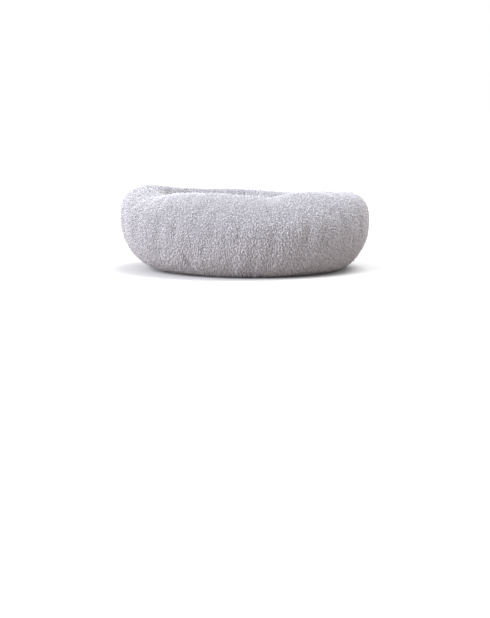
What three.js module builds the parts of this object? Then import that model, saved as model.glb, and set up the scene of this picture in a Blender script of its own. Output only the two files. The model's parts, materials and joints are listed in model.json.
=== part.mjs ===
// A donut pet bed: a stuffed plush ring, the bolster, round a stuffed plush cushion on which the animal lies.
// Millimetres, +Z up. The origin is on the floor, under the middle of the bed. The front of the bed faces -Y.
import * as THREE from "three";

// Driving dimensions
const OUTER_RADIUS = 250;
const BOLSTER_HEIGHT = 158;
const WAIST_SHARE = 0.6; // height of the outer wall's widest point, as a share of the crest's height
const THROAT_HEIGHT = 92; // height at which the inner wall stands furthest into the well
const INNER_FOOT = 134; // radius at which the inner wall meets the floor
const CUSHION_CROWN = 66; // height of the cushion at its middle
const CUSHION_WAIST = 27; // height at which the cushion presses against the bolster
const CUSHION_FOOT_SHARE = 0.93; // radius of the cushion's flat underside, as a share of its waist
const SEAT_GAP = 0.4; // left between the cushion and the bolster where they press together

// How full each curve of a section is: 2 is an ellipse, and more is squarer
const FULLNESS = { belly: 2.0, slope: 1.35, inner: 2.4, crown: 2.5, edge: 2.0 };

const CREASE_FADE = 0.35; // share of a crease's length over which each of its ends fades out
const PLUSH_COLOUR = "#c9c8cf";

// Mesh steps
const AROUND = 150;
const FRONT_CROWDING = 0.3; // share by which the steps are closer together at the front, where most creases lie
const ACROSS = { belly: 10, shoulder: 10, slope: 10, inner: 6, foot: 2 };
const CUSHION_AROUND = 60;
const CUSHION_ACROSS = { foot: 2, edge: 4, crown: 9 };

// The stuffing lies unevenly. Each row is a station round the ring, in degrees from the front towards +X:
// how far the outer wall stands out or in, the radius of the foot's outer edge, how full the shoulder between
// the outer wall and the crest is, the radii of the crest and the throat, and how much the crest rises or sinks.
const STATIONS = [
  { azimuth: 0, outer: 0, foot: 168, shoulder: 1.85, crest: 174, rise: 0, throat: 132 },
  { azimuth: 20, outer: 0, foot: 170, shoulder: 1.7, crest: 172, rise: 1, throat: 131 },
  { azimuth: 40, outer: 1, foot: 168, shoulder: 1.7, crest: 172, rise: 5, throat: 130 },
  { azimuth: 60, outer: 1, foot: 168, shoulder: 2.1, crest: 173, rise: 2, throat: 130 },
  { azimuth: 80, outer: 0, foot: 169, shoulder: 2.75, crest: 177, rise: -1, throat: 131 },
  { azimuth: 100, outer: 0, foot: 169, shoulder: 2.75, crest: 179, rise: -2, throat: 131 },
  { azimuth: 120, outer: -1, foot: 170, shoulder: 2.6, crest: 181, rise: -7, throat: 132 },
  { azimuth: 140, outer: -2, foot: 170, shoulder: 2.5, crest: 182, rise: -12, throat: 137 },
  { azimuth: 160, outer: -2, foot: 170, shoulder: 2.4, crest: 183, rise: -12, throat: 138 },
  { azimuth: 180, outer: -3, foot: 168, shoulder: 2.4, crest: 184, rise: -7, throat: 139 },
  { azimuth: 200, outer: -2, foot: 166, shoulder: 2.5, crest: 184, rise: -6, throat: 139 },
  { azimuth: 220, outer: -1, foot: 162, shoulder: 2.6, crest: 184, rise: -3, throat: 139 },
  { azimuth: 240, outer: 0, foot: 156, shoulder: 2.6, crest: 184, rise: 3, throat: 138 },
  { azimuth: 260, outer: 0, foot: 151, shoulder: 2.7, crest: 184, rise: 10, throat: 137 },
  { azimuth: 280, outer: 0, foot: 149, shoulder: 2.7, crest: 183, rise: 10, throat: 135 },
  { azimuth: 300, outer: 1, foot: 147, shoulder: 2.6, crest: 181, rise: -3, throat: 134 },
  { azimuth: 320, outer: 1, foot: 151, shoulder: 2.5, crest: 179, rise: 2, throat: 134 },
  { azimuth: 340, outer: 0, foot: 160, shoulder: 2.1, crest: 177, rise: 4, throat: 133 },
];

// The main creases of the cover. Each row is one trough: the azimuth and the way of its two ends, its depth and
// its half width. The way runs over the section: 0 is the outer edge of the foot, 1 the outer wall's
// widest point, 2 the crest, 3 the throat and 4 the inner edge of the foot.
const CREASES = [
  // Puckers on the front and the sides
  { from: -28, to: -26, low: 0.35, high: 0.95, depth: 6, width: 9 },
  { from: -34, to: -30, low: 0.75, high: 1.4, depth: 4, width: 9 },
  { from: -47, to: -37, low: 0.45, high: 1.35, depth: 5, width: 9 },
  { from: -23, to: -19, low: 0.85, high: 1.65, depth: 4, width: 8 },
  { from: -16, to: -12, low: 0.7, high: 1.5, depth: 4.5, width: 8 },
  { from: -8, to: -6, low: 0.2, high: 0.9, depth: 4.5, width: 8 },
  { from: -3, to: 0, low: 0.8, high: 1.6, depth: 4, width: 8 },
  { from: 2, to: 4, low: 0.25, high: 0.95, depth: 4, width: 8 },
  { from: 11, to: 14, low: 0.4, high: 1.35, depth: 4.5, width: 9 },
  { from: 27, to: 30, low: 0.45, high: 1.5, depth: 4.5, width: 10 },
  { from: 37, to: 38, low: 0.6, high: 1.3, depth: 3.5, width: 9 },
  { from: 48, to: 51, low: 0.6, high: 1.4, depth: 4, width: 10 },
  { from: 65, to: 63, low: 0.6, high: 1.5, depth: 3.5, width: 10 },
  { from: 80, to: 83, low: 0.4, high: 1.2, depth: 3.5, width: 12 },
  { from: -60, to: -55, low: 0.6, high: 1.5, depth: 4.5, width: 10 },
  { from: -77, to: -73, low: 0.4, high: 1.3, depth: 4, width: 12 },
  // Dips of the front's crest
  { from: -57, to: -51, low: 1.7, high: 2.7, depth: 4, width: 18 },
  { from: 14, to: 18, low: 1.5, high: 2.5, depth: 5.5, width: 20 },
  { from: 57, to: 53, low: 1.6, high: 2.5, depth: 3, width: 15 },
  // The cover's closing seam, which draws in the back of the ring, and the gathers beside it
  { from: 180, to: 180, low: 0.1, high: 1.9, depth: 5, width: 9 },
  { from: 180, to: 180, low: 1.7, high: 3.6, depth: 5, width: 7 },
  { from: 188, to: 186, low: 1.9, high: 2.9, depth: 3.5, width: 7 },
  { from: 171, to: 173, low: 1.8, high: 2.8, depth: 4, width: 7 },
  { from: 192, to: 188, low: 0.7, high: 1.6, depth: 3.5, width: 11 },
  { from: 166, to: 171, low: 0.6, high: 1.5, depth: 3.5, width: 11 },
  // Gathers of the well's wall, where the cover is eased in to the shorter way round
  { from: 207, to: 209, low: 1.8, high: 3.2, depth: 5.5, width: 10 },
  { from: 229, to: 227, low: 2.0, high: 3.2, depth: 4.5, width: 9 },
  { from: 252, to: 250, low: 1.8, high: 3.1, depth: 5.5, width: 10 },
  { from: 274, to: 272, low: 2.0, high: 3.2, depth: 4.5, width: 9 },
  { from: 293, to: 296, low: 1.9, high: 3.2, depth: 5.5, width: 10 },
  { from: 318, to: 318, low: 2.1, high: 3.2, depth: 4.5, width: 9 },
  { from: 340, to: 338, low: 1.9, high: 3.2, depth: 5, width: 10 },
  { from: 3, to: 1, low: 2.1, high: 3.2, depth: 4.5, width: 9 },
  { from: 22, to: 25, low: 2.0, high: 3.2, depth: 5.5, width: 10 },
  { from: 45, to: 44, low: 2.1, high: 3.2, depth: 4.5, width: 9 },
  { from: 66, to: 69, low: 1.9, high: 3.1, depth: 5.5, width: 10 },
  { from: 91, to: 89, low: 2.1, high: 3.2, depth: 4.5, width: 9 },
  { from: 113, to: 115, low: 1.9, high: 3.2, depth: 5.5, width: 10 },
  { from: 137, to: 135, low: 2.0, high: 3.2, depth: 4.5, width: 9 },
  { from: 155, to: 156, low: 1.9, high: 3.1, depth: 5, width: 9 },
  // Puckers on the back, which is plainer
  { from: 102, to: 105, low: 0.6, high: 1.5, depth: 4, width: 13 },
  { from: 126, to: 124, low: 0.4, high: 1.3, depth: 4, width: 14 },
  { from: 147, to: 151, low: 0.6, high: 1.6, depth: 4, width: 13 },
  { from: 213, to: 209, low: 0.5, high: 1.4, depth: 4, width: 14 },
  { from: 233, to: 236, low: 0.5, high: 1.5, depth: 4, width: 13 },
  { from: 255, to: 252, low: 0.6, high: 1.4, depth: 4, width: 14 },
];

const TURN = 2 * Math.PI;
const { degToRad, lerp, smoothstep } = THREE.MathUtils;

// The value of one column of STATIONS at an angle in radians, on a smooth closed curve through the rows
function station(angle, column) {
  const place = ((angle / TURN) * STATIONS.length + STATIONS.length) % STATIONS.length;
  const row = Math.floor(place);
  const at = (offset) => STATIONS[(row + offset + STATIONS.length) % STATIONS.length][column];
  const [a, b, c, d] = [at(-1), at(0), at(1), at(2)];
  const t = place - row;
  return b + 0.5 * t * (c - a + t * (2 * a - 5 * b + 4 * c - d + t * (3 * (b - c) + d - a)));
}

// A quarter of a superellipse between two points [r, z], without the last one. It leaves the first point
// straight up or down when `upright` is true, and level when it is not.
function quarter(start, end, fullness, steps, upright) {
  return Array.from({ length: steps }, (_, i) => {
    const angle = ((i / steps) * Math.PI) / 2;
    const slow = 1 - Math.cos(angle) ** (2 / fullness);
    const quick = Math.sin(angle) ** (2 / fullness);
    const [along, up] = upright ? [slow, quick] : [quick, slow];
    return [lerp(start[0], end[0], along), lerp(start[1], end[1], up)];
  });
}

// The smooth section of the bolster at an angle, as points { r, z, way }
function bolsterSection(angle) {
  const height = BOLSTER_HEIGHT + station(angle, "rise");
  const foot = [station(angle, "foot"), 0];
  const waist = [OUTER_RADIUS + station(angle, "outer"), WAIST_SHARE * height];
  const crest = [station(angle, "crest"), height];
  const throat = [station(angle, "throat"), THROAT_HEIGHT];
  const innerFoot = [INNER_FOOT, 0];
  const curves = [
    quarter(foot, waist, FULLNESS.belly, ACROSS.belly, false),
    quarter(waist, crest, station(angle, "shoulder"), ACROSS.shoulder, true),
    quarter(crest, throat, FULLNESS.slope, ACROSS.slope, false),
    quarter(throat, innerFoot, FULLNESS.inner, ACROSS.inner, true),
    Array.from({ length: ACROSS.foot }, (_, i) => [lerp(INNER_FOOT, foot[0], i / ACROSS.foot), 0]),
  ];
  return curves.flatMap((curve, k) => curve.map(([r, z], i) => ({ r, z, way: k + i / curve.length })));
}

// How deep the creases are at a point of the cover
function creaseDepth(angle, radius, way) {
  let depth = 0;
  for (const crease of CREASES) {
    const along = (way - crease.low) / (crease.high - crease.low);
    if (along <= 0 || along >= 1) continue;
    const middle = degToRad(lerp(crease.from, crease.to, along));
    const aside = Math.atan2(Math.sin(angle - middle), Math.cos(angle - middle)) * radius;
    const fade = smoothstep(along, 0, CREASE_FADE) * smoothstep(1 - along, 0, CREASE_FADE);
    depth = Math.max(depth, crease.depth * fade * Math.exp(-((aside / crease.width) ** 2)));
  }
  return depth;
}

// The section with its creases pressed in, square to the smooth section
function creasedSection(angle) {
  const section = bolsterSection(angle);
  return section.map(({ r, z, way }, i) => {
    const before = section.at(i - 1);
    const after = section[(i + 1) % section.length];
    const [dr, dz] = [after.r - before.r, after.z - before.z];
    const depth = creaseDepth(angle, r, way) / Math.hypot(dr, dz);
    return [r - dz * depth, Math.max(0, z + dr * depth)];
  });
}

const place = (angle, r, z) => [r * Math.sin(angle), -r * Math.cos(angle), z];

function meshGeometry(positions, index) {
  const geometry = new THREE.BufferGeometry();
  geometry.setAttribute("position", new THREE.Float32BufferAttribute(positions, 3));
  geometry.setIndex(index);
  geometry.computeVertexNormals();
  return geometry;
}

// Two triangles for each cell between rows of points that go round the bed
function cells(rows, columns, closed) {
  const index = [];
  for (let i = 0; i < rows; i++) {
    for (let j = 0; j < (closed ? columns : columns - 1); j++) {
      const a = i * columns + j;
      const b = i * columns + ((j + 1) % columns);
      const c = ((i + 1) % rows) * columns + j;
      const d = ((i + 1) % rows) * columns + ((j + 1) % columns);
      index.push(a, c, d, a, d, b);
    }
  }
  return index;
}

function bolsterGeometry() {
  const rings = Array.from({ length: AROUND }, (_, i) => {
    const even = (i / AROUND) * TURN;
    const angle = even - FRONT_CROWDING * Math.sin(even);
    return creasedSection(angle).map(([r, z]) => place(angle, r, z));
  });
  return meshGeometry(rings.flat(2), cells(AROUND, rings[0].length, true));
}

// The radius of the well's wall at a height between the floor and the throat
function wallRadius(angle, height) {
  const up = 1 - height / THROAT_HEIGHT;
  const out = 1 - (1 - up ** FULLNESS.inner) ** (1 / FULLNESS.inner);
  return lerp(station(angle, "throat"), INNER_FOOT, out);
}

// Half a section of the cushion, from beside the middle of its underside to beside its crown
function cushionSection(angle) {
  const edge = wallRadius(angle, CUSHION_WAIST) - SEAT_GAP;
  const foot = [edge * CUSHION_FOOT_SHARE, 0];
  const waist = [edge, CUSHION_WAIST];
  const rings = CUSHION_ACROSS.foot;
  return [
    ...Array.from({ length: rings }, (_, i) => [(foot[0] * (i + 1)) / (rings + 1), 0]),
    ...quarter(foot, waist, FULLNESS.edge, CUSHION_ACROSS.edge, false),
    ...quarter(waist, [0, CUSHION_CROWN], FULLNESS.crown, CUSHION_ACROSS.crown, true),
  ];
}

function cushionGeometry() {
  const sections = Array.from({ length: CUSHION_AROUND }, (_, i) => {
    const angle = (i / CUSHION_AROUND) * TURN;
    return cushionSection(angle).map(([r, z]) => place(angle, r, z));
  });
  const columns = sections[0].length;
  const index = cells(CUSHION_AROUND, columns, false);
  const bottom = CUSHION_AROUND * columns;
  const top = bottom + 1;
  for (let i = 0; i < CUSHION_AROUND; i++) {
    const here = i * columns;
    const next = ((i + 1) % CUSHION_AROUND) * columns;
    index.push(bottom, next, here, top, here + columns - 1, next + columns - 1);
  }
  return meshGeometry([...sections.flat(2), 0, 0, 0, 0, 0, CUSHION_CROWN], index);
}

function piece(name, geometry) {
  const plush = new THREE.MeshStandardMaterial({ color: PLUSH_COLOUR, roughness: 1, metalness: 0 });
  const mesh = new THREE.Mesh(geometry, plush);
  mesh.name = name;
  return mesh;
}

const bed = new THREE.Group();
bed.add(piece("bolster", bolsterGeometry()), piece("centre_cushion", cushionGeometry()));

export default bed;
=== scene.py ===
# %% [markdown]
# A donut pet bed in curled plush: a stuffed ring, the bolster, round a stuffed cushion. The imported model
# holds the size and the main folds of both. This notebook dresses them: it makes each cover as stuffed
# cloth, presses the small puckers and the closing seam into it, and then grows the pile on it.

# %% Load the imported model
import json
import math

import bmesh
import bpy
import numpy as np
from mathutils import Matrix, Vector, noise

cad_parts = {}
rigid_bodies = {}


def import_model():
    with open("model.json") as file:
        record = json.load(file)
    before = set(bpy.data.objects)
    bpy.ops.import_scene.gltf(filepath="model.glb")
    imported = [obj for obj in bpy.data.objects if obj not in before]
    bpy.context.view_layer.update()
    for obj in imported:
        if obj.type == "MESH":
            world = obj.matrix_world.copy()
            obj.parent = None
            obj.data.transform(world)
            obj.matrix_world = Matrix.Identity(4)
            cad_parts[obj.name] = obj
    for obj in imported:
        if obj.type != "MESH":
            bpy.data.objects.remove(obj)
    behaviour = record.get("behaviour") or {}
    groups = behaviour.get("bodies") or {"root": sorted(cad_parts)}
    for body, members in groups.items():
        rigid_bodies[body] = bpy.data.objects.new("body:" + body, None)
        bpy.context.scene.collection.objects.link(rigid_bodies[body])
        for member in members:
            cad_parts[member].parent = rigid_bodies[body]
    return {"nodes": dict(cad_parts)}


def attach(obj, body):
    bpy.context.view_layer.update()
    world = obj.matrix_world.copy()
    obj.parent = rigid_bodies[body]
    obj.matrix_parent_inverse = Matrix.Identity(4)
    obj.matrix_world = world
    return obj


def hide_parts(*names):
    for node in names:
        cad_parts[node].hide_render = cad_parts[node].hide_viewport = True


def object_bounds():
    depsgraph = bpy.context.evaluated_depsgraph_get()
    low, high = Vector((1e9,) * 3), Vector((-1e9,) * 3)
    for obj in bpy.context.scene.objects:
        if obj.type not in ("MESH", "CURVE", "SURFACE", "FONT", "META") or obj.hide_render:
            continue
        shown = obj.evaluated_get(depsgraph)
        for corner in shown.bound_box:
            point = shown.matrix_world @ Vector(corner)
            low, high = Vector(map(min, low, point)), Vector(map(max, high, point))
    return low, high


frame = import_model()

MM = 0.001
SEED = 7

cad_box = [list(corner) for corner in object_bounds()]
print("size of the packed model, in mm:", [round((high - low) / MM) for low, high in zip(*cad_box)])

# %% [markdown]
# A camera is described by where it stands, where it looks and how long its lens is. The photograph was
# taken with a long lens from a little above the bed, so the far rim of the ring just shows over the near
# one. Blender's sensor width spans the longer side of the picture, so the lens follows from the focal
# length in pixels. A camera that isn't turned looks straight down: a quarter turn brings it up to level,
# less the angle by which this one looks down.

# %% Camera
IMAGE_HEIGHT_PX = 618
FOCAL_LENGTH_PX = 1690
SENSOR_MM = 36
CAMERA_PLACE = (0, -3.4, 0.345)
LEVEL_DEG = 90
CAMERA_DOWN_DEG = 7.17

camera_data = bpy.data.cameras.new("camera")
camera_data.sensor_width = SENSOR_MM
camera_data.lens = FOCAL_LENGTH_PX / IMAGE_HEIGHT_PX * SENSOR_MM
camera = bpy.data.objects.new("camera", camera_data)
camera.location = CAMERA_PLACE
camera.rotation_euler = (math.radians(LEVEL_DEG - CAMERA_DOWN_DEG), 0, 0)
bpy.context.scene.collection.objects.link(camera)
bpy.context.scene.camera = camera
print("lens, in mm:", round(camera_data.lens, 1))

# %% [markdown]
# A few small helpers keep the cells that follow short. Some turn an object with live modifiers into a
# plain mesh. The others read and write all the points of a mesh at once, as a table with a row for each
# point, because that is far quicker than one point at a time.

# %% Helpers for meshes
# The columns of a table of points
X, Y, Z = range(3)


def new_object(name, data):
    """An object of that mesh or lamp, in the scene."""
    obj = bpy.data.objects.new(name, data)
    bpy.context.scene.collection.objects.link(obj)
    return obj


def evaluated_mesh(obj):
    """A plain mesh of the object as its modifiers leave it."""
    graph = bpy.context.evaluated_depsgraph_get()
    return bpy.data.meshes.new_from_object(obj.evaluated_get(graph), depsgraph=graph)


def apply_modifiers(obj):
    """Makes what the modifiers show the object's own mesh."""
    mesh = evaluated_mesh(obj)
    obj.modifiers.clear()
    obj.data = mesh


def points_of(mesh):
    """The points of a mesh as rows of x, y and z."""
    flat = np.empty(3 * len(mesh.vertices), np.float32)
    mesh.vertices.foreach_get("co", flat)
    return flat.reshape(-1, 3).astype(float)


def normals_of(mesh):
    """The way that each point of a mesh faces, as rows of x, y and z."""
    flat = np.empty(3 * len(mesh.vertices), np.float32)
    mesh.vertex_normals.foreach_get("vector", flat)
    return flat.reshape(-1, 3).astype(float)


def set_points(mesh, points):
    """Puts the points of a mesh where the rows say."""
    mesh.vertices.foreach_set("co", points.astype(np.float32).ravel())
    mesh.update()


def lift_to(mesh, lowest):
    """Lifts every point that lies lower than lowest up to it."""
    points = points_of(mesh)
    points[:, Z] = np.maximum(points[:, Z], lowest)
    set_points(mesh, points)


def add_subdivision(obj, name):
    """One level of smooth subdivision, in the view and in the render alike."""
    subdivision = obj.modifiers.new(name, "SUBSURF")
    subdivision.levels = subdivision.render_levels = 1


def smooth_shading(mesh):
    mesh.polygons.foreach_set("use_smooth", [True] * len(mesh.polygons))


def triangle_count(mesh):
    return sum(len(face.vertices) - 2 for face in mesh.polygons)


# %% [markdown]
# Stuffed cloth is what Blender's cloth simulation with pressure makes: a closed skin that the filling
# pushes out until the cloth holds it. The plush is backed with a soft knit, so it stretches more easily
# than Blender's usual cloth, and its pile makes it a little harder to bend. Each point moves straight out,
# by no less and no more than a set way, so the main folds keep their places and the ring its height.

# %% Stuffing by cloth simulation
CLOTH = {
    "quality": 5,
    "mass": 0.3,
    "tension_stiffness": 10,
    "compression_stiffness": 10,
    "bending_stiffness": 0.6,
    "use_pressure": True,
    "uniform_pressure_force": 4,
}
LAST_FRAME = 20
SWELL_LEAST = 3.0 * MM
SWELL_CAP = 4 * MM


def stuff(cover):
    """Lets the filling push the cover out, and returns where its points come to lie."""
    start = points_of(cover.data)
    outward = normals_of(cover.data)
    cloth = cover.modifiers.new("cloth", "CLOTH")
    for setting, value in CLOTH.items():
        setattr(cloth.settings, setting, value)
    cloth.settings.effector_weights.gravity = 0
    cloth.point_cache.frame_start = 1
    cloth.point_cache.frame_end = LAST_FRAME
    for step in range(1, LAST_FRAME + 1):
        bpy.context.scene.frame_set(step)
    apply_modifiers(cover)
    bpy.context.scene.frame_set(1)
    swell = np.sum((points_of(cover.data) - start) * outward, axis=1)
    print(f"the filling pushes {cover.name} out by {np.median(swell) / MM:.1f} mm, before the limits")
    return start + outward * np.clip(swell, SWELL_LEAST, SWELL_CAP)[:, None]


# %% [markdown]
# Each cover starts from a copy of its solid whose loose triangles are merged. The copy is shrunk a little,
# so that the skin has room to swell and the pile still ends about where the solid does. It is remeshed
# before the simulation, because cloth folds well only on even faces, and subdivided once after it.

# %% Two stuffed covers
MERGE_DISTANCE = 0.01 * MM
PILE_HEIGHT = 0.4 * MM
FLAT_BELOW = 0.3 * MM
FLOOR_CLEARANCE = 0.8 * MM
VOXEL = 6 * MM


def merged_copy(node, name):
    """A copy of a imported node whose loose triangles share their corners."""
    mesh = frame["nodes"][node].data.copy()
    shape = bmesh.new()
    shape.from_mesh(mesh)
    bmesh.ops.remove_doubles(shape, verts=shape.verts, dist=MERGE_DISTANCE)
    shape.to_mesh(mesh)
    shape.free()
    mesh.materials.clear()
    return new_object(name, mesh)


def stuffed_cover(node, name):
    """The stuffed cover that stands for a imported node."""
    cover = merged_copy(node, name)
    points = points_of(cover.data)
    foot = points[:, Z] < FLAT_BELOW
    points -= normals_of(cover.data) * (PILE_HEIGHT + SWELL_CAP)
    points[foot, Z] = FLOOR_CLEARANCE
    set_points(cover.data, points)

    add_subdivision(cover, "smooth")
    remesh = cover.modifiers.new("even faces", "REMESH")
    remesh.mode = "VOXEL"
    remesh.voxel_size = VOXEL
    apply_modifiers(cover)
    swollen = stuff(cover)
    set_points(cover.data, swollen)

    add_subdivision(cover, "finer")
    apply_modifiers(cover)
    return cover


ring_cover = stuffed_cover("bolster", "bolster_cover")
cushion_cover = stuffed_cover("centre_cushion", "cushion_cover")

# %% [markdown]
# Remeshing rounds off whatever is narrower than its faces, so the narrow puckers come after it. They are
# soft troughs, placed where the cloth is gathered: upright ones on the outer wall, a fan of them where the
# crest dips at the front left, with a crease behind it, and the closing seam at the back, which crosses
# the well's wall upright. A place on the ring is given by two angles, as on any ring: how far round the
# bed it is, and how far round the section, which is a circle near enough.

# %% Where the puckers and the closing seam lie
# Azimuths are in degrees from the front towards the right. Low and high are turns in degrees round the
# section, from its outermost point at 0 over the crest at 90 into the well. Depths and half widths are in
# millimetres.
PUCKERS = [
    # Front left
    {"low_azimuth": -29.2, "high_azimuth": -29.8, "low": -72, "high": -10, "depth": 4.4, "width": 3.6},
    {"low_azimuth": -51.6, "high_azimuth": -53.0, "low": -2, "high": 26, "depth": 2.8, "width": 4.5},
    {"low_azimuth": -33.2, "high_azimuth": -32.5, "low": -6, "high": 28, "depth": 3.0, "width": 4.5},
    {"low_azimuth": -43.6, "high_azimuth": -41.8, "low": -40, "high": -12, "depth": 2.2, "width": 4.5},
    {"low_azimuth": -34.6, "high_azimuth": -35.2, "low": 30, "high": 56, "depth": 2.2, "width": 5.0},
    {"low_azimuth": -20.0, "high_azimuth": -18.4, "low": -34, "high": -4, "depth": 2.0, "width": 5.0},
    {"low_azimuth": -17.2, "high_azimuth": -18.0, "low": 30, "high": 68, "depth": 2.4, "width": 7.0},
    # The crease behind the crest's dip, and the fan below it
    {"low_azimuth": -86.0, "high_azimuth": -62.0, "low": 70, "high": 108, "depth": 4.5, "width": 6.0},
    {"low_azimuth": -54.0, "high_azimuth": -52.0, "low": 42, "high": 80, "depth": 1.8, "width": 7.0},
    {"low_azimuth": -66.0, "high_azimuth": -60.0, "low": 30, "high": 76, "depth": 1.8, "width": 8.0},
    {"low_azimuth": -42.0, "high_azimuth": -45.0, "low": 34, "high": 76, "depth": 1.8, "width": 7.0},
    # Front
    {"low_azimuth": -9.1, "high_azimuth": -9.0, "low": -12, "high": 16, "depth": 2.2, "width": 5.0},
    {"low_azimuth": -6.6, "high_azimuth": -6.9, "low": 42, "high": 68, "depth": 2.0, "width": 4.5},
    {"low_azimuth": -4.6, "high_azimuth": -4.7, "low": 24, "high": 53, "depth": 2.2, "width": 4.5},
    {"low_azimuth": -2.9, "high_azimuth": -2.8, "low": -12, "high": 13, "depth": 2.0, "width": 5.0},
    {"low_azimuth": 0.9, "high_azimuth": 0.1, "low": 16, "high": 46, "depth": 2.4, "width": 6.0},
    {"low_azimuth": 2.8, "high_azimuth": 3.0, "low": 25, "high": 48, "depth": 2.0, "width": 4.5},
    {"low_azimuth": 11.3, "high_azimuth": 11.0, "low": 20, "high": 62, "depth": 2.4, "width": 7.0},
    # Front right
    {"low_azimuth": 20.2, "high_azimuth": 21.0, "low": 22, "high": 64, "depth": 2.4, "width": 7.0},
    {"low_azimuth": 29.5, "high_azimuth": 28.9, "low": -30, "high": 50, "depth": 2.2, "width": 7.0},
    {"low_azimuth": 41.0, "high_azimuth": 46.0, "low": 33, "high": 50, "depth": 2.4, "width": 5.5},
    {"low_azimuth": 49.0, "high_azimuth": 50.5, "low": 20, "high": 52, "depth": 2.4, "width": 5.5},
    {"low_azimuth": 60.0, "high_azimuth": 58.0, "low": -30, "high": 10, "depth": 2.4, "width": 6.0},
    # The closing seam and the cloth that it draws in
    {"low_azimuth": 180.0, "high_azimuth": 180.0, "low": -62, "high": 100, "depth": 3.5, "width": 4.0},
    {"low_azimuth": 180.0, "high_azimuth": 180.0, "low": 74, "high": 165, "depth": 6.0, "width": 3.5},
    {"low_azimuth": -176.0, "high_azimuth": -177.0, "low": 78, "high": 132, "depth": 3.0, "width": 5.0},
    {"low_azimuth": 173.0, "high_azimuth": 175.0, "low": 20, "high": 84, "depth": 2.4, "width": 6.0},
]
print("puckers:", len(PUCKERS))

# %% [markdown]
# Each pucker is deepest along its middle line, and fades out to both sides and towards both of its ends.
# Between the puckers the cloth isn't quite even either, so a little noise makes gentle wrinkles, drawn out
# across the section as gathered cloth is. The noise has two octaves: the second is twice as fine as the
# first, and about two thirds as strong.

# %% Press the puckers and the wrinkles in
# The section's middle runs round the bed at this radius and height
CORE_RADIUS = 185 * MM
CORE_HEIGHT = 76 * MM
SECTION_RADIUS = 66 * MM
OUTER_RADIUS = cad_box[1][X]
PUCKER_FADE = 0.35
WRINKLE_AROUND = 17 * MM
WRINKLE_ACROSS = 62 * MM
WRINKLE_DEPTH = 1.1 * MM
OCTAVE_FALL = 0.6
OCTAVE_STEP = 2.0
OCTAVES = 2


def ring_place(points):
    """How far each point is from the bed's middle, and its turn round the section in radians."""
    reach = np.hypot(points[:, X], points[:, Y])
    return reach, np.arctan2(points[:, Z] - CORE_HEIGHT, reach - CORE_RADIUS)


def faded(share):
    """0 at both ends of a pucker, where share is 0 and 1, and 1 over its middle."""
    end = np.clip(np.minimum(share, 1 - share) / PUCKER_FADE, 0, 1)
    return end * end * (3 - 2 * end)


def pucker_depth(points):
    """How deep the deepest pucker is at each point of the ring."""
    reach, turn = ring_place(points)
    azimuth = np.arctan2(points[:, X], -points[:, Y])
    depth = np.zeros(len(points))
    for row in PUCKERS:
        share = (np.degrees(turn) - row["low"]) / (row["high"] - row["low"])
        middle = np.radians(row["low_azimuth"] + share * (row["high_azimuth"] - row["low_azimuth"]))
        gap = azimuth - middle
        # The sine and cosine bring the gap to less than half a turn
        aside = np.arctan2(np.sin(gap), np.cos(gap)) * reach / (row["width"] * MM)
        depth = np.maximum(depth, row["depth"] * MM * faded(share) * np.exp(-(aside**2)))
    return depth


def wrinkle_depth(points):
    """The gentle unevenness of the cloth at each point of the ring."""
    reach, turn = ring_place(points)
    around = points[:, [X, Y]] * (OUTER_RADIUS / reach)[:, None] / WRINKLE_AROUND
    across = SECTION_RADIUS * turn / WRINKLE_ACROSS
    rows = np.column_stack([around, across])
    depths = [noise.fractal(Vector(row), OCTAVE_FALL, OCTAVE_STEP, OCTAVES) for row in rows]
    return WRINKLE_DEPTH * np.array(depths)


points = points_of(ring_cover.data)
wrinkles = wrinkle_depth(points)
sunk = pucker_depth(points) + wrinkles
set_points(ring_cover.data, points - normals_of(ring_cover.data) * sunk[:, None])
print("wrinkles up to", round(float(np.abs(wrinkles).max()) / MM, 1), "mm deep")

for cover in (ring_cover, cushion_cover):
    lift_to(cover.data, FLOOR_CLEARANCE)
    smooth_shading(cover.data)
    print(cover.name, "has", triangle_count(cover.data), "triangles")

# %% [markdown]
# The pile is curled plush: bundles of fibres, a few millimetres apart, that each bend over along the nap.
# One lock is a tube of four sides along a curl, which swells a little and ends in a point. A few variants
# of it are made, so that neighbours seldom look alike. A lock lies low, as in a stroked pile, so the
# outline of the bed stays smooth, and it has few faces, because there are tens of thousands of them.

# %% One lock of the pile
LOCK_VARIANTS = 8
LOCK_SIDES = 4
LOCK_RADII = (0.8 * MM, 0.95 * MM)
LOCK_REACH = 5 * MM
LOCK_ROOT_DEPTH = 0.8 * MM
LOCK_START_DEG = 25

# The least and the most of what differs from lock to lock
TURN_DEG = (60, 105)
DRIFT = (-0.7, 0.7)
REACH_SHARE = (0.85, 1.15)
GIRTH = (0.9, 1.15)


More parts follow.
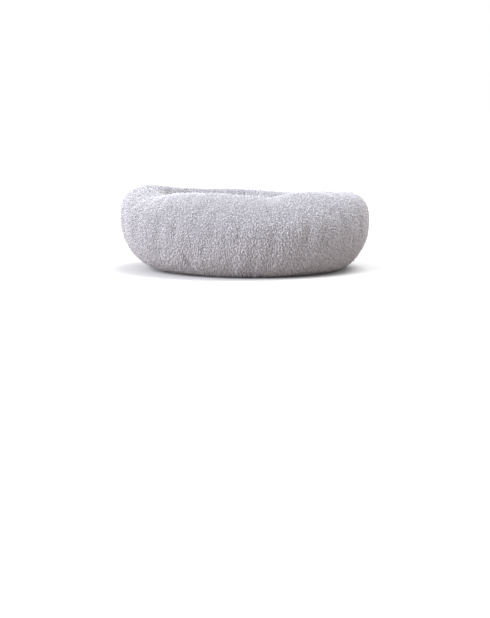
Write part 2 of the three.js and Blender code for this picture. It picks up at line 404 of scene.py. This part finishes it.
def lock_mesh(turn_deg, drift, reach, girth):
    """A pointed tube that rises from just under the origin, bends over towards +X and drifts aside."""
    shape = bmesh.new()
    rings = []
    centre = Vector((0, 0, -LOCK_ROOT_DEPTH))
    for step, radius in enumerate(LOCK_RADII):
        along = step / len(LOCK_RADII)
        angle = math.radians(LOCK_START_DEG + turn_deg * along)
        forward = Vector((math.sin(angle), drift * along, math.cos(angle))).normalized()
        side = Vector((0, 1, 0)).cross(forward).normalized()
        other = forward.cross(side)
        turns = [2 * math.pi * k / LOCK_SIDES for k in range(LOCK_SIDES)]
        corners = [centre + girth * radius * (math.cos(t) * side + math.sin(t) * other) for t in turns]
        rings.append([shape.verts.new(corner) for corner in corners])
        centre = centre + forward * (reach / len(LOCK_RADII))
    tip = shape.verts.new(centre)
    for lower, upper in zip(rings, rings[1:]):
        for k in range(LOCK_SIDES):
            after = (k + 1) % LOCK_SIDES
            shape.faces.new((lower[k], lower[after], upper[after], upper[k]))
    for k in range(LOCK_SIDES):
        shape.faces.new((rings[-1][k], rings[-1][(k + 1) % LOCK_SIDES], tip))
    shape.faces.new(rings[0][::-1])
    bmesh.ops.recalc_face_normals(shape, faces=shape.faces)
    mesh = bpy.data.meshes.new("lock")
    shape.to_mesh(mesh)
    shape.free()
    smooth_shading(mesh)
    return mesh


draw = np.random.default_rng(SEED)
locks = bpy.data.collections.new("locks")
for variant in range(LOCK_VARIANTS):
    mesh = lock_mesh(
        turn_deg=draw.uniform(*TURN_DEG),
        drift=draw.uniform(*DRIFT),
        reach=LOCK_REACH * draw.uniform(*REACH_SHARE),
        girth=draw.uniform(*GIRTH),
    )
    locks.objects.link(bpy.data.objects.new(f"lock_{variant}", mesh))
print("triangles of one lock:", triangle_count(mesh))

# %% [markdown]
# Materials and Geometry Nodes are both trees of nodes, so one function adds a node to any tree, with its
# settings, and joins it to the nodes that feed it. Colours are written as the hex values that a paint
# program shows, and Blender works in linear light, so another function turns the one into the other.


# %% Helpers for nodes and colours
def add_node(tree, kind, inputs=None, **settings):
    """Adds a node. inputs gives a socket, by name or number, its value or the node or output it takes."""
    node = tree.nodes.new(kind)
    for setting, value in settings.items():
        setattr(node, setting, value)
    for socket, value in (inputs or {}).items():
        if isinstance(value, bpy.types.Node):
            value = value.outputs[0]
        if isinstance(value, bpy.types.NodeSocket):
            tree.links.new(value, node.inputs[socket])
        else:
            node.inputs[socket].default_value = value
    return node


def linear(hex_colour):
    """The linear colour, with alpha, of a hex value such as "e0dfe4", by the curve that defines sRGB."""
    parts = [int(hex_colour[i : i + 2], 16) / 255 for i in (0, 2, 4)]
    return tuple(c / 12.92 if c <= 0.04045 else ((c + 0.055) / 1.055) ** 2.4 for c in parts) + (1.0,)


# %% [markdown]
# Plush of this kind is polyester: a knitted backing with a fine, slightly shiny fibre. Its curls break the
# light up so much that it looks matt, with a faint brightness at the edges, which is the sheen. Light also
# passes a little way through the pale fibres, which softens the shadows between the curls. The tones vary
# a little from lock to lock. A real fibre is thinner than a hair, too fine to show, so the bump that
# stands for the fibres is drawn coarser, nearly a millimetre apart.

# %% Curled polyester plush
PLUSH_DARK = linear("dad9de")
PLUSH_MIDDLE = linear("e0dfe4")
PLUSH_LIGHT = linear("e6e5ea")
# The backing is painted darker than the locks: its colour is painted shade, for the shade that falls deep
# between the locks.
BACKING_PAINTED_SHADE = linear("a3a2a7")
FIBRE_PITCH = 0.9 * MM
FIBRE_HEIGHT = 0.3 * MM
FIBRE_STRENGTH = 0.5
FIBRE_DETAIL = 2.0
PLUSH_SURFACE = {
    "Roughness": 1.0,
    "Specular IOR Level": 0.1,
    "Sheen Weight": 0.1,
    "Sheen Roughness": 0.6,
    "Subsurface Weight": 0.8,
    "Subsurface Radius": (1.0, 1.0, 1.0),
    "Subsurface Scale": 0.4 * MM,
}


def plush_material(name, colours):
    """A cloth whose colour runs through colours by the attribute "tone"."""
    material = bpy.data.materials.new(name)
    material.use_nodes = True
    tree = material.node_tree
    tree.nodes.clear()
    tone = add_node(tree, "ShaderNodeAttribute", attribute_name="tone").outputs["Fac"]
    ramp = add_node(tree, "ShaderNodeValToRGB", {"Fac": tone})
    ramp.color_ramp.elements[0].color = colours[0]
    ramp.color_ramp.elements[-1].color = colours[-1]
    for k, colour in enumerate(colours[1:-1], start=1):
        ramp.color_ramp.elements.new(k / (len(colours) - 1)).color = colour
    place = add_node(tree, "ShaderNodeTexCoord").outputs["Object"]
    fibres = add_node(
        tree, "ShaderNodeTexNoise", {"Vector": place, "Scale": 1 / FIBRE_PITCH, "Detail": FIBRE_DETAIL}
    )
    bump = add_node(
        tree,
        "ShaderNodeBump",
        {"Height": fibres.outputs["Fac"], "Strength": FIBRE_STRENGTH, "Distance": FIBRE_HEIGHT},
    )
    surface = add_node(
        tree, "ShaderNodeBsdfPrincipled", {"Base Color": ramp, "Normal": bump, **PLUSH_SURFACE}
    )
    add_node(tree, "ShaderNodeOutputMaterial", {"Surface": surface})
    return material


pile_material = plush_material("curled polyester plush", [PLUSH_DARK, PLUSH_MIDDLE, PLUSH_LIGHT])
shaded_backing_material = plush_material("knitted polyester backing with painted shade", [BACKING_PAINTED_SHADE, BACKING_PAINTED_SHADE])
print("finishes:", pile_material.name, "and", shaded_backing_material.name)

# %% [markdown]
# Geometry Nodes grow the pile, because it is one rule repeated some tens of thousands of times: points lie
# at an even distance all over the cover, and each gets one of the locks. The tree is made in three parts.
# The first chooses where pile grows: in one sector of the bed, from one angle to another, and only where
# it can show, which is above the underside and above the cleft between ring and cushion. It also keeps off
# a narrow strip along the closing seam at the back, where the pile parts and the backing, painted dark as
# shade, shows as a dark line.

# %% Where the pile grows
LEVEL_ONLY = (1, 1, 0)
BED_MIDDLE = 0.0


def growing_places(tree, given):
    """True at the places on a cover where pile grows."""
    place = add_node(tree, "GeometryNodeInputPosition")
    at = add_node(tree, "ShaderNodeSeparateXYZ", {0: place}).outputs
    azimuth = add_node(tree, "ShaderNodeMath", {0: at[Y], 1: at[X]}, operation="ARCTAN2")
    after = add_node(
        tree, "FunctionNodeCompare", {0: azimuth, 1: given["From angle"]}, operation="GREATER_EQUAL"
    )
    before = add_node(
        tree, "FunctionNodeCompare", {0: azimuth, 1: given["To angle"]}, operation="LESS_THAN"
    )
    in_sector = add_node(tree, "FunctionNodeBooleanMath", {0: after, 1: before})

    level = add_node(tree, "ShaderNodeVectorMath", {0: place, 1: LEVEL_ONLY}, operation="MULTIPLY")
    radius = add_node(tree, "ShaderNodeVectorMath", {0: level}, operation="LENGTH").outputs["Value"]
    inside = add_node(
        tree, "FunctionNodeCompare", {0: radius, 1: given["Inner radius"]}, operation="LESS_THAN"
    )
    lowest = add_node(
        tree,
        "GeometryNodeSwitch",
        {"Switch": inside, "False": given["Lowest"], "True": given["Inner lowest"]},
        input_type="FLOAT",
    )
    above = add_node(tree, "FunctionNodeCompare", {0: at[Z], 1: lowest}, operation="GREATER_THAN")

    # No lock grows on the seam strip, so the backing's painted shade shows there as a dark line.
    aside = add_node(tree, "ShaderNodeMath", {0: at[X]}, operation="ABSOLUTE")
    off_seam = add_node(
        tree, "FunctionNodeCompare", {0: aside, 1: given["Seam gap"]}, operation="GREATER_THAN"
    )
    in_front = add_node(tree, "FunctionNodeCompare", {0: at[Y], 1: BED_MIDDLE}, operation="LESS_THAN")
    clear = add_node(tree, "FunctionNodeBooleanMath", {0: off_seam, 1: in_front}, operation="OR")

    shows = add_node(tree, "FunctionNodeBooleanMath", {0: in_sector, 1: above})
    return add_node(tree, "FunctionNodeBooleanMath", {0: shows, 1: clear})


# %% [markdown]
# The second part of the tree stands each lock on the cover. The nap runs straight down the slope: from the
# crest down both walls of the ring, and outwards from the middle of the cushion. The cross product of the
# way up from the cover and straight down is level, and crossed with the way up again it points down the
# slope. A lock leans a little that way, and a little more any way at random. Its curl is turned along the
# nap, and then twisted at random.

# %% How each lock stands
DOWN = (0, 0, -1)
TWIST = 1.5
STRAY_LEAST = (-1, -1, -1)
STRAY_MOST = (1, 1, 1)
STRAY_SEED, TWIST_SEED, CHOICE_SEED, SIZE_SEED, TONE_SEED = (SEED + k for k in range(1, 6))

# A Random Value node has inputs and an output for each kind of number, which share their names, so those
# for fractions and for whole numbers are picked by number
FRACTION_LEAST, FRACTION_MOST, FRACTION = 2, 3, 1
WHOLE_LEAST, WHOLE_MOST, WHOLE = 4, 5, 2


def lock_rotation(tree, given, upward):
    """The rotation that stands a lock on the cover and bends it over along the nap."""
    level = add_node(tree, "ShaderNodeVectorMath", {0: upward, 1: DOWN}, operation="CROSS_PRODUCT")
    nap = add_node(tree, "ShaderNodeVectorMath", {0: level, 1: upward}, operation="CROSS_PRODUCT")
    lean = add_node(
        tree, "ShaderNodeVectorMath", {0: nap, "Scale": given["Nap lean"]}, operation="SCALE"
    )
    any_way = add_node(
        tree,
        "FunctionNodeRandomValue",
        {"Min": STRAY_LEAST, "Max": STRAY_MOST, "Seed": STRAY_SEED},
        data_type="FLOAT_VECTOR",
    )
    stray = add_node(
        tree, "ShaderNodeVectorMath", {0: any_way, "Scale": given["Random lean"]}, operation="SCALE"
    )
    leaning = add_node(tree, "ShaderNodeVectorMath", {0: upward, 1: lean}, operation="ADD")
    aim = add_node(tree, "ShaderNodeVectorMath", {0: leaning, 1: stray}, operation="ADD")
    upright = add_node(tree, "FunctionNodeAlignRotationToVector", {"Vector": aim}, axis="Z")
    along_nap = add_node(
        tree,
        "FunctionNodeAlignRotationToVector",
        {"Rotation": upright, "Vector": nap},
        axis="X",
        pivot_axis="Z",
    )
    angle = add_node(
        tree,
        "FunctionNodeRandomValue",
        {FRACTION_LEAST: -TWIST, FRACTION_MOST: TWIST, "Seed": TWIST_SEED},
        data_type="FLOAT",
    ).outputs[FRACTION]
    twist = add_node(tree, "FunctionNodeAxisAngleToRotation", {"Axis": (0, 0, 1), "Angle": angle})
    return add_node(
        tree,
        "FunctionNodeRotateRotation",
        {"Rotation": along_nap, "Rotate By": twist},
        rotation_space="LOCAL",
    )


# %% [markdown]
# The third part scatters the points, puts a lock of random size on each one that was chosen, and gives it
# a tone. It ends by turning the instances into one mesh of the plush finish. The sizes are inputs of the
# tree, so that one tree serves the ring and the cushion.

# %% The tree that grows the pile
PILE_SIZES = (
    "Pitch",
    "From angle",
    "To angle",
    "Lowest",
    "Inner radius",
    "Inner lowest",
    "Seam gap",
    "Nap lean",
    "Random lean",
)
MOST_IN_A_SQUARE_METRE = 1e6
LEAST_SIZE = 0.7
MOST_SIZE = 1.25


def pile_tree():
    """The Geometry Nodes tree that turns a cover into the pile on it."""
    tree = bpy.data.node_groups.new("pile", "GeometryNodeTree")
    sockets = tree.interface
    sockets.new_socket("Geometry", in_out="INPUT", socket_type="NodeSocketGeometry")
    for label in PILE_SIZES:
        sockets.new_socket(label, in_out="INPUT", socket_type="NodeSocketFloat")
    sockets.new_socket("Geometry", in_out="OUTPUT", socket_type="NodeSocketGeometry")
    given = add_node(tree, "NodeGroupInput").outputs

    scatter = add_node(
        tree,
        "GeometryNodeDistributePointsOnFaces",
        {
            "Mesh": given["Geometry"],
            "Distance Min": given["Pitch"],
            "Density Max": MOST_IN_A_SQUARE_METRE,
            "Seed": SEED,
        },
        distribute_method="POISSON",
    ).outputs
    places = growing_places(tree, given)
    kept = add_node(
        tree, "GeometryNodeSeparateGeometry", {"Geometry": scatter["Points"], "Selection": places}
    )
    choice = add_node(
        tree,
        "FunctionNodeRandomValue",
        {WHOLE_LEAST: 0, WHOLE_MOST: LOCK_VARIANTS - 1, "Seed": CHOICE_SEED},
        data_type="INT",
    ).outputs[WHOLE]
    size = add_node(
        tree,
        "FunctionNodeRandomValue",
        {FRACTION_LEAST: LEAST_SIZE, FRACTION_MOST: MOST_SIZE, "Seed": SIZE_SEED},
        data_type="FLOAT",
    ).outputs[FRACTION]
    shapes = add_node(
        tree,
        "GeometryNodeCollectionInfo",
        {"Collection": locks, "Separate Children": True, "Reset Children": True},
    )
    planted = add_node(
        tree,
        "GeometryNodeInstanceOnPoints",
        {
            "Points": kept,
            "Instance": shapes,
            "Pick Instance": True,
            "Instance Index": choice,
            "Rotation": lock_rotation(tree, given, scatter["Normal"]),
            "Scale": size,
        },
    )
    tone = add_node(
        tree,
        "FunctionNodeRandomValue",
        {FRACTION_LEAST: 0.0, FRACTION_MOST: 1.0, "Seed": TONE_SEED},
        data_type="FLOAT",
    ).outputs[FRACTION]
    toned = add_node(
        tree,
        "GeometryNodeStoreNamedAttribute",
        {"Geometry": planted, "Name": "tone", "Value": tone},
        data_type="FLOAT",
        domain="INSTANCE",
    )
    real = add_node(tree, "GeometryNodeRealizeInstances", {"Geometry": toned})
    dressed = add_node(tree, "GeometryNodeSetMaterial", {"Geometry": real, "Material": pile_material})
    add_node(tree, "NodeGroupOutput", {0: dressed})
    return tree


PILE = pile_tree()
print("nodes in the tree:", len(PILE.nodes))

# %% [markdown]
# The ring's pile is grown in five sectors, so that no mesh becomes too large to handle, and the cushion's
# in one piece. Within the inner radius pile grows only above the cleft, and outside it almost down to the
# floor. A lock that would dip into the floor is lifted to just above it. Angles run from minus half a turn
# to half a turn, and the last edge lies a little past the end, so that the end itself is taken in.

# %% Grow the pile
SECTORS = 5
FULL_TURN = 2 * math.pi
PAST_THE_END = 0.001
LOWEST_TIP = 0.3 * MM
SHARED_SIZES = {"Pitch": 2.45 * MM, "Inner radius": 150 * MM, "Nap lean": 0.15, "Random lean": 0.35}
RING_SIZES = {"Lowest": 2.5 * MM, "Inner lowest": 45 * MM, "Seam gap": 2.4 * MM}
CUSHION_SIZES = {"Lowest": 27 * MM, "Inner lowest": 27 * MM, "Seam gap": 0.0}


def grow_pile(cover, name, from_angle, to_angle, own_sizes):
    """The pile on one sector of a cover, as a plain mesh object."""
    grower = cover.modifiers.new("pile", "NODES")
    grower.node_group = PILE
    values = {"From angle": from_angle, "To angle": to_angle, **SHARED_SIZES, **own_sizes}
    for item in PILE.interface.items_tree:
        if item.in_out == "INPUT" and item.name in values:
            grower[item.identifier] = values[item.name]
    mesh = evaluated_mesh(cover)
    cover.modifiers.clear()
    lift_to(mesh, LOWEST_TIP)
    print(name, "has", triangle_count(mesh), "triangles")
    return new_object(name, mesh)


edges = [FULL_TURN * (k / SECTORS - 0.5) for k in range(SECTORS + 1)]
edges[-1] += PAST_THE_END
piles = [
    grow_pile(ring_cover, f"bolster_pile_{k + 1}", edges[k], edges[k + 1], RING_SIZES)
    for k in range(SECTORS)
]
piles.append(grow_pile(cushion_cover, "cushion_pile", edges[0], edges[-1], CUSHION_SIZES))

for lock in list(locks.objects):
    bpy.data.objects.remove(lock)
bpy.data.collections.remove(locks)

# %% [markdown]
# What shows of a cover between the locks is the knitted backing, so the covers get its finish, which is
# painted darker than the locks as the shade between them. Nothing on the bed moves, so every piece rides
# on its one body. The covers stand for the two solids of the packed model.

# %% Finish and place
for cover in (ring_cover, cushion_cover):
    cover.data.materials.append(shaded_backing_material)
for piece in (ring_cover, cushion_cover, *piles):
    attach(piece, "root")
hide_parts("bolster")
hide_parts("centre_cushion")
print("pieces of pile on the covers:", len(piles))

# %% [markdown]
# The setting is a plain white floor in a white room. The photograph's background is brighter than the
# light that it throws on the bed, so floor and room look white to the camera and throw less light. A Mix
# Shader picks between the two by the kind of ray, and one function makes it for floor and room alike.


# %% Floor
def seen_and_thrown(tree, seen, thrown):
    """A shader that the camera sees as seen, and that lights the bed as thrown."""
    ray = add_node(tree, "ShaderNodeLightPath").outputs["Is Camera Ray"]
    return add_node(tree, "ShaderNodeMixShader", {0: ray, 1: thrown, 2: seen})


FLOOR_HALF_WIDTH = 20
FLOOR_SEEN = (0.95, 0.95, 0.95, 1)
FLOOR_THROWN = (0.44, 0.385, 0.35, 1)
SQUARE = ((-1, -1), (1, -1), (1, 1), (-1, 1))

floor_mesh = bpy.data.meshes.new("floor")
corners = [(x * FLOOR_HALF_WIDTH, y * FLOOR_HALF_WIDTH, 0) for x, y in SQUARE]
floor_mesh.from_pydata(corners, [], [tuple(range(len(corners)))])
floor = new_object("floor", floor_mesh)

floor_material = bpy.data.materials.new("matt white paper")
floor_material.use_nodes = True
floor_tree = floor_material.node_tree
floor_tree.nodes.clear()
floor_surface = seen_and_thrown(
    floor_tree,
    seen=add_node(floor_tree, "ShaderNodeBsdfDiffuse", {"Color": FLOOR_SEEN}),
    thrown=add_node(floor_tree, "ShaderNodeBsdfDiffuse", {"Color": FLOOR_THROWN}),
)
add_node(floor_tree, "ShaderNodeOutputMaterial", {"Surface": floor_surface})
floor_mesh.materials.append(floor_material)
print("floor, in metres across:", 2 * FLOOR_HALF_WIDTH)

# %% [markdown]
# Two wide suns stand for large soft lamps. The key comes from the left, a little above the bed, and is
# slightly blue. The other stands high up on the right, and its light is neutral.

# %% Lamps
NEUTRAL = (1.0, 1.0, 1.0)
COOL = (0.9, 0.92, 1.0)

# Azimuths are in degrees from the front towards the right. A lamp's width is the angle that it fills.
LAMPS = [
    {"name": "key", "azimuth": -50, "elevation": 26, "width": 40, "energy": 2.85, "colour": COOL},
    {"name": "overhead", "azimuth": 85, "elevation": 73, "width": 40, "energy": 1.65, "colour": NEUTRAL},
]


def add_sun(lamp):
    """A wide far lamp, as one row of the table says."""
    data = bpy.data.lights.new(lamp["name"], "SUN")
    data.energy = lamp["energy"]
    data.color = lamp["colour"]
    data.angle = math.radians(lamp["width"])
    azimuth = math.radians(lamp["azimuth"])
    elevation = math.radians(lamp["elevation"])
    level = math.cos(elevation)
    towards = Vector((level * math.sin(azimuth), -level * math.cos(azimuth), math.sin(elevation)))
    sun = new_object(lamp["name"], data)
    sun.rotation_euler = towards.to_track_quat("Z", "Y").to_euler()


for lamp in LAMPS:
    add_sun(lamp)
print("lamps:", [lamp["name"] for lamp in LAMPS])

# %% [markdown]
# The world is the room's white walls and ceiling. The view transform is Standard, which shows colours as
# they are, where Blender's usual one would grey the whites.

# %% White room
WHITE = (1, 1, 1, 1)
ROOM_SEEN = 1.0
ROOM_THROWN = 0.69

world = bpy.data.worlds.new("white room")
bpy.context.scene.world = world
world.use_nodes = True
world_tree = world.node_tree
world_tree.nodes.clear()
room_surface = seen_and_thrown(
    world_tree,
    seen=add_node(world_tree, "ShaderNodeBackground", {"Color": WHITE, "Strength": ROOM_SEEN}),
    thrown=add_node(world_tree, "ShaderNodeBackground", {"Color": WHITE, "Strength": ROOM_THROWN}),
)
add_node(world_tree, "ShaderNodeOutputWorld", {"Surface": room_surface})
bpy.context.scene.view_settings.view_transform = "Standard"
print("view transform:", bpy.context.scene.view_settings.view_transform)
